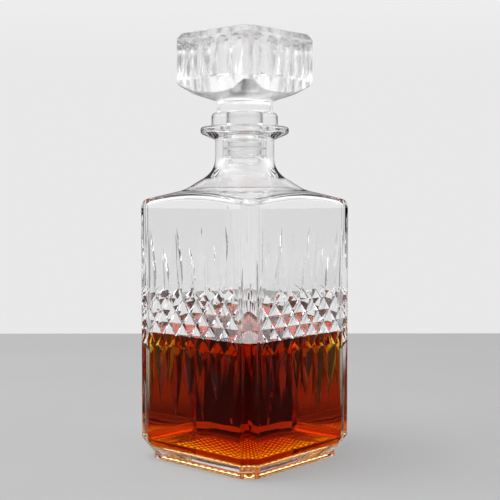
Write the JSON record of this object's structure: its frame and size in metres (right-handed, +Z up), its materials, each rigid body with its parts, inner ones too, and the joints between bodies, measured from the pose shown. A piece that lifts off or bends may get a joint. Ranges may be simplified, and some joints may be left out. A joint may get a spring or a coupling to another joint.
{
  "type": "decanter",
  "caption": "Square cut crystal decanter with a band of diamonds, blade flutes, a faceted square stopper with a clear seal, and amber spirit inside.",
  "frame": {"origin": "centre of the underside, in the plane that the decanter stands on", "axes": "+Z up along the axis of the neck; +X and +Y square to two of the four cut faces"},
  "size_m": [0.09, 0.09, 0.2403],
  "materials": {
    "crystal": "polished",
    "seal_plastic": "gloss",
    "spirit": "gloss"
  },
  "bodies": {
    "bottle": {"bottle": "crystal", "spirit": "spirit"},
    "seal": {"stopper_seal": "seal_plastic"},
    "stopper": {"stopper": "crystal"}
  },
  "joints": [
    {"name": "stopper_lift", "type": "slide", "parent": "bottle", "child": "seal", "axis": [0, 0, 1], "range_m": [0, 0.06]},
    {"name": "stopper_twist", "type": "hinge", "parent": "seal", "child": "stopper", "pos_m": [0, 0, 0.19], "axis": [0, 0, 1], "continuous": true}
  ]
}
